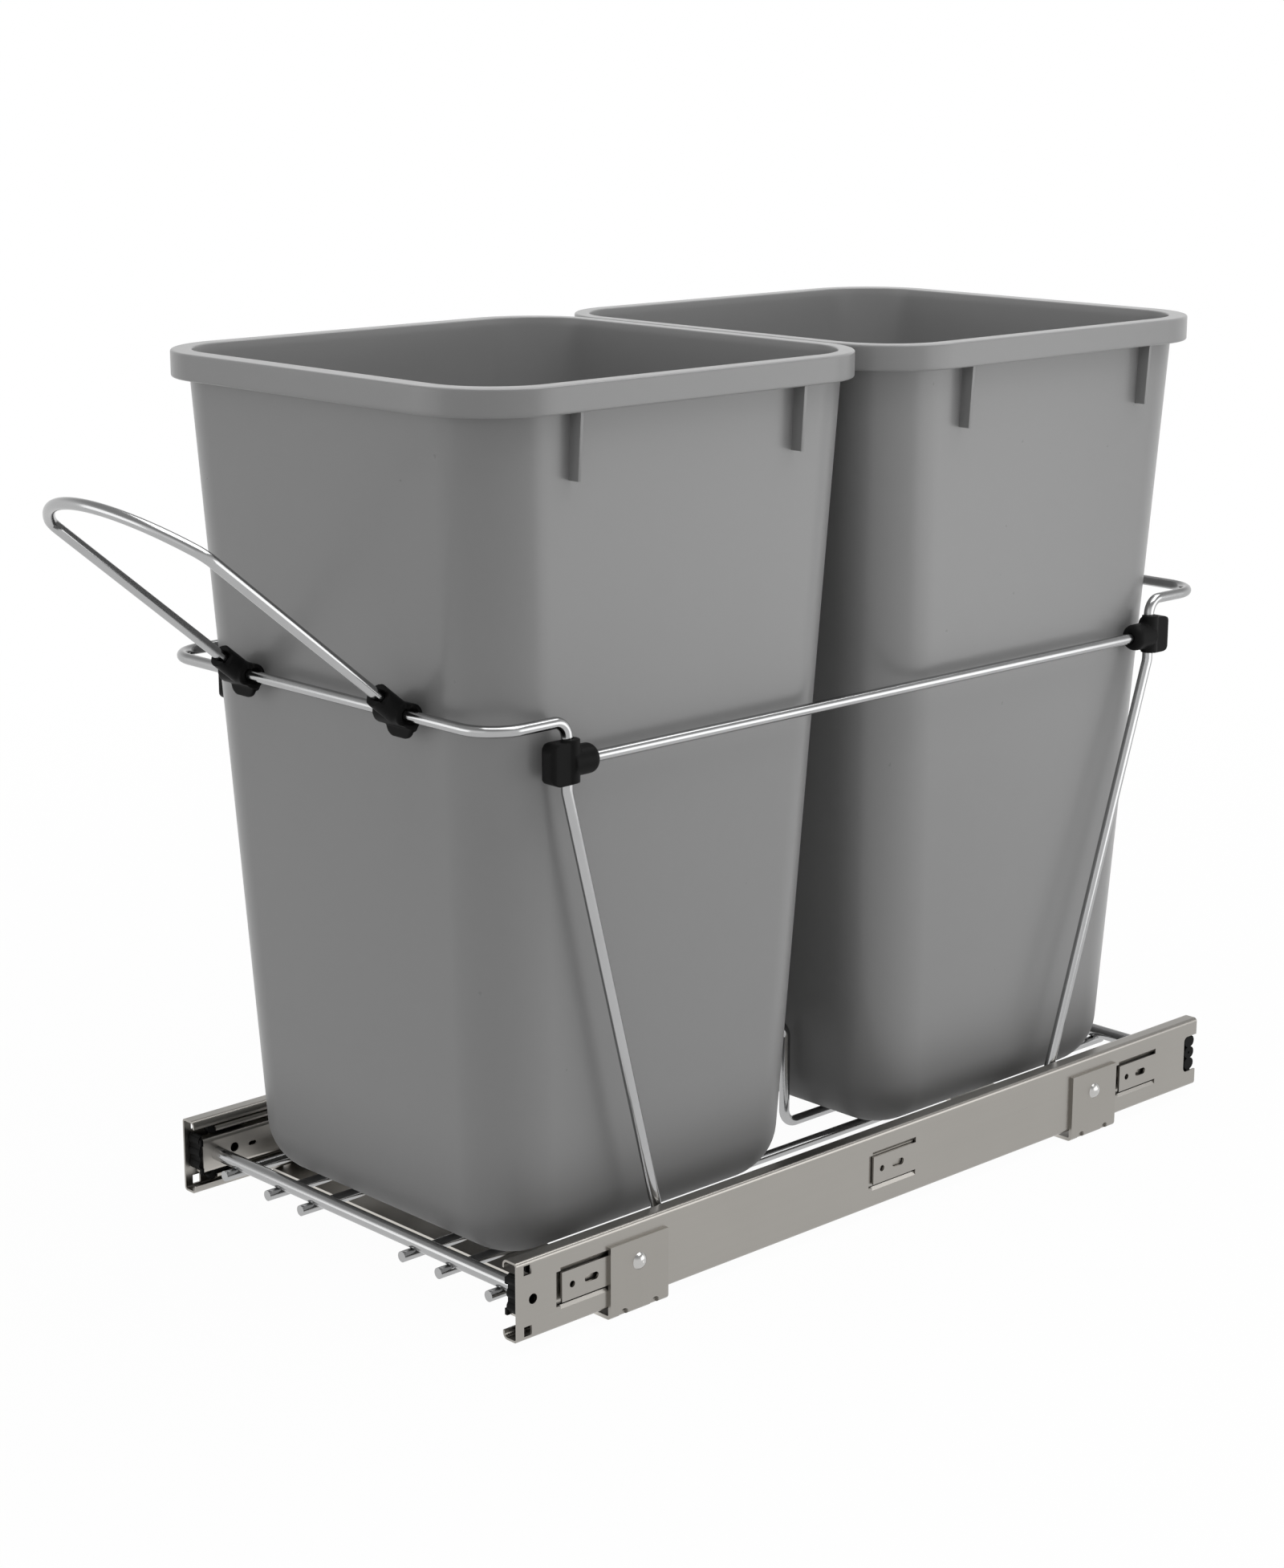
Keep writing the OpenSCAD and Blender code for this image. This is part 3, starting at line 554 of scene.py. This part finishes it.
WIRE_SIDES = 32
BEND_STEP = math.radians(3.0)
POINT_GAP = 0.01
WIRE_R = 3.0
RAIL_Z = 317.4
RAIL_REACH = 49.6
RAIL_CORNER = 21.3
SHOULDER_BEND = 8.5
KNEE_Z = 281.5
KNEE_BEND = 12.0
HOOP_FOOT_Z = 19.3
HOOP_LEG_X = 132.786
HOOP_FOOT_X = 127.231
FRONT_RAIL_Y = -274.973
REAR_RAIL_Y = 285.767
FRONT_FOOT_Y = -152.345
REAR_FOOT_Y = 156.744
HANDLE_LEG_X = 64.5
HANDLE_REACH = 173.8
HANDLE_BOW = 85.0
HANDLE_CORNER = 14.0
HANDLE_TILT = math.radians(39.3)
HANDLE_START = 9.0
FLOOR_WIRE_Z = 20.4
ARCH_HALF = 24.8
ARCH_BEND = 9.0


def bent_route(corners, radii):
    """Points along a wire that turns at each inner corner with its bend radius."""
    corners = [Vector(corner) for corner in corners]
    route = [corners[0]]
    for before, corner, after, radius in zip(corners, corners[1:], corners[2:], radii):
        come = (corner - before).normalized()
        go = (after - corner).normalized()
        turn = come.angle(go)
        start = corner - come * (radius * math.tan(turn / 2))
        inward = (go - come * math.cos(turn)) / math.sin(turn)
        steps = max(2, math.ceil(turn / BEND_STEP))
        for k in range(steps + 1):
            angle = turn * k / steps
            point = start + come * (radius * math.sin(angle)) + inward * (radius * (1 - math.cos(angle)))
            if (point - route[-1]).length > POINT_GAP:
                route.append(point)
    route.append(corners[-1])
    return route


def wire_tube(name, route, body, node):
    """A round wire along a route, standing for a node of the frame."""
    turns = [2 * math.pi * k / WIRE_SIDES for k in range(WIRE_SIDES)]
    side = (route[1] - route[0]).normalized().orthogonal()
    rings = []
    for before, point, after in zip([route[0]] + route, route, route[1:] + [route[-1]]):
        ahead = ((point - before).normalized() + (after - point).normalized()).normalized()
        side = (side - ahead * side.dot(ahead)).normalized()
        up = ahead.cross(side)
        rings.append([point + (side * math.cos(t) + up * math.sin(t)) * WIRE_R for t in turns])
    bm = bmesh.new()
    loft(bm, rings)
    piece = finish_mesh(name, bm)
    dress(piece, "chrome_wire")
    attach(piece, body)
    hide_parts(node)


def hoop_route(rail_y, foot_y):
    """A rail round three sides of a bin, with a shoulder and a slanted leg at each end."""
    leg_y = rail_y + math.copysign(RAIL_REACH, -rail_y)
    right = [
        (HOOP_LEG_X, rail_y, RAIL_Z),
        (HOOP_LEG_X, leg_y, RAIL_Z),
        (HOOP_LEG_X, leg_y, KNEE_Z),
        (HOOP_FOOT_X, foot_y, HOOP_FOOT_Z),
    ]
    left = [(-x, y, z) for x, y, z in reversed(right)]
    bends = [KNEE_BEND, SHOULDER_BEND, RAIL_CORNER]
    return bent_route(left + right, bends + bends[::-1])


def handle_route():
    """Two straight legs and a wide bow, joined by a small bend at each shoulder, in the tilted plane."""
    def on_handle(x, reach):
        return (x, FRONT_RAIL_Y - reach * math.cos(HANDLE_TILT), RAIL_Z + reach * math.sin(HANDLE_TILT))

    span = HANDLE_BOW - HANDLE_CORNER
    turn = math.acos((HANDLE_LEG_X - HANDLE_CORNER) / span)
    bow = HANDLE_REACH - HANDLE_BOW
    shoulder = bow + span * math.sin(turn) + HANDLE_CORNER * math.tan(turn / 2)
    peak = bow + HANDLE_BOW / math.sin(turn)
    return bent_route(
        [
            on_handle(-HANDLE_LEG_X, HANDLE_START),
            on_handle(-HANDLE_LEG_X, shoulder),
            on_handle(0.0, peak),
            on_handle(HANDLE_LEG_X, shoulder),
            on_handle(HANDLE_LEG_X, HANDLE_START),
        ],
        [HANDLE_CORNER, HANDLE_BOW, HANDLE_CORNER],
    )


def arch_route(node):
    """A floor wire as long as its node, with the divider arch between the bins."""
    low, high = (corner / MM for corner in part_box(node))
    x = (low.x + high.x) / 2
    arch_top = high.z - WIRE_R
    return bent_route(
        [
            (x, low.y, FLOOR_WIRE_Z),
            (x, -ARCH_HALF, FLOOR_WIRE_Z),
            (x, -ARCH_HALF, arch_top),
            (x, ARCH_HALF, arch_top),
            (x, ARCH_HALF, FLOOR_WIRE_Z),
            (x, high.y, FLOOR_WIRE_Z),
        ],
        [ARCH_BEND] * 4,
    )


wire_tube("front_hoop_wire", hoop_route(FRONT_RAIL_Y, FRONT_FOOT_Y), "carriage", "front_hoop")
wire_tube("rear_hoop_wire", hoop_route(REAR_RAIL_Y, REAR_FOOT_Y), "carriage", "rear_hoop")
wire_tube("handle_bow", handle_route(), "handle", "handle_wire")
for hand in ("left", "right"):
    floor_node = hand + "_arched_floor_wire"
    wire_tube(hand + "_divider_wire", arch_route(floor_node), "carriage", floor_node)


# Studio, in metres

CENTRE = (0.0, 0.0, 0.25)
RIGHT_SIDE = (0.13, 0.0, 0.27)
CEILING_START = 0.10
CEILING_END = 0.70
FLOOR_HALF = 30.0
FLOOR_GAP = 0.4 * MM
FLOOR_SHADE = grey(0.62)
FLOOR_WHITE = 0.975
SHADOW_NEAR = 0.4
SHADOW_FAR = 1.6


def background_share(finish):
    """Whether a ray sees the plain white background: camera, mirror and clear-glass rays do."""
    seen = 0.0
    for ray in ("Is Camera Ray", "Is Glossy Ray", "Is Transmission Ray"):
        hit = finish.add("ShaderNodeLightPath", out=ray)
        seen = finish.add("ShaderNodeMath", {"operation": "MAXIMUM"}, {0: seen, 1: hit})
    return seen


def studio_world(light, ceiling):
    """Soft light, a white background, and in mirrors a background that greys towards the ceiling."""
    world = bpy.data.worlds.new("studio")
    bpy.context.scene.world = world
    finish = Finish(world)
    mirrored = finish.add("ShaderNodeLightPath", out="Is Glossy Ray")
    shade = finish.step(finish.along("Z"), CEILING_START, CEILING_END) * mirrored
    backdrop = finish.blend(shade, WHITE, grey(ceiling))
    soft = finish.add("ShaderNodeBackground", sockets={"Color": grey(light), "Strength": 1.0})
    white = finish.add("ShaderNodeBackground", sockets={"Color": backdrop, "Strength": 1.0})
    mixed = finish.add("ShaderNodeMixShader", sockets={0: background_share(finish), 1: soft, 2: white})
    finish.add("ShaderNodeOutputWorld", sockets={"Surface": mixed})


def studio_floor():
    """A pale floor that shows white, with a trace of the object's shadow near it."""
    mesh = bpy.data.meshes.new("floor")
    bm = bmesh.new()
    bmesh.ops.create_grid(bm, x_segments=1, y_segments=1, size=FLOOR_HALF)
    bm.to_mesh(mesh)
    bm.free()
    floor = bpy.data.objects.new("floor", mesh)
    floor.location.z = cad_box[0].z - FLOOR_GAP
    bpy.context.scene.collection.objects.link(floor)
    finish = Finish(bpy.data.materials.new("pale_floor"))
    pale = finish.add("ShaderNodeBsdfDiffuse", sockets={"Color": FLOOR_SHADE})
    white = finish.add("ShaderNodeEmission", sockets={"Color": WHITE, "Strength": 1.0})
    reach = finish.add("ShaderNodeVectorMath", {"operation": "LENGTH"}, {0: finish.place()}, out="Value")
    far = finish.step(reach, SHADOW_NEAR, SHADOW_FAR)
    share = background_share(finish) * (FLOOR_WHITE + far * (1.0 - FLOOR_WHITE))
    mixed = finish.add("ShaderNodeMixShader", sockets={0: share, 1: pale, 2: white})
    mesh.materials.append(finish.surface(mixed))


def softbox(name, place, aim, width, height, glow):
    """A rectangular lamp facing its aim. Its glow is the brightness of its face, where 1 is white."""
    lamp = bpy.data.lights.new(name, "AREA")
    lamp.shape = "RECTANGLE"
    lamp.size = width
    lamp.size_y = height
    lamp.energy = glow * math.pi * width * height
    box = bpy.data.objects.new(name, lamp)
    box.location = place
    box.rotation_mode = "QUATERNION"
    box.rotation_quaternion = (Vector(place) - Vector(aim)).to_track_quat("Z", "Y")
    box.visible_camera = False
    bpy.context.scene.collection.objects.link(box)


studio_world(light=0.40, ceiling=0.42)
studio_floor()
softbox("overhead_softbox", (0.3, 0.3, 2.2), CENTRE, width=2.2, height=2.2, glow=3.1)
softbox("right_panel", (0.88, 0.47, 0.30), RIGHT_SIDE, width=0.9, height=0.55, glow=1.58)
softbox("front_softbox", (-1.0, -2.1, 0.55), CENTRE, width=1.7, height=1.1, glow=1.22)
softbox("fill_softbox", (0.45, -2.4, 0.9), CENTRE, width=1.5, height=1.4, glow=0.22)


# Camera

CAMERA_PLACE = (1.20779, -1.19426, 0.65134)
CAMERA_AZIMUTH = math.radians(46.52)
CAMERA_ELEVATION = math.radians(14.19)
CAMERA_ROLL = math.radians(0.07)
CAMERA_LENS = 70.007
CAMERA_SENSOR = 36.0
CAMERA_NEAR = 0.05
CAMERA_FAR = 100.0


def studio_camera():
    """The camera at the photograph's viewing angle."""
    a, e, r = CAMERA_AZIMUTH, CAMERA_ELEVATION, CAMERA_ROLL
    back = Vector((math.sin(a) * math.cos(e), -math.cos(a) * math.cos(e), math.sin(e)))
    level = Vector((math.cos(a), math.sin(a), 0.0))
    upright = back.cross(level)
    right = level * math.cos(r) + upright * math.sin(r)
    up = upright * math.cos(r) - level * math.sin(r)
    data = bpy.data.cameras.new("camera")
    data.lens = CAMERA_LENS
    data.sensor_width = CAMERA_SENSOR
    data.clip_start = CAMERA_NEAR
    data.clip_end = CAMERA_FAR
    camera = bpy.data.objects.new("camera", data)
    turn = Matrix((right, up, back)).transposed().to_4x4()
    camera.matrix_world = Matrix.Translation(CAMERA_PLACE) @ turn
    bpy.context.scene.collection.objects.link(camera)
    bpy.context.scene.camera = camera


studio_camera()
bpy.context.scene.view_settings.view_transform = "Standard"

bpy.context.view_layer.update()
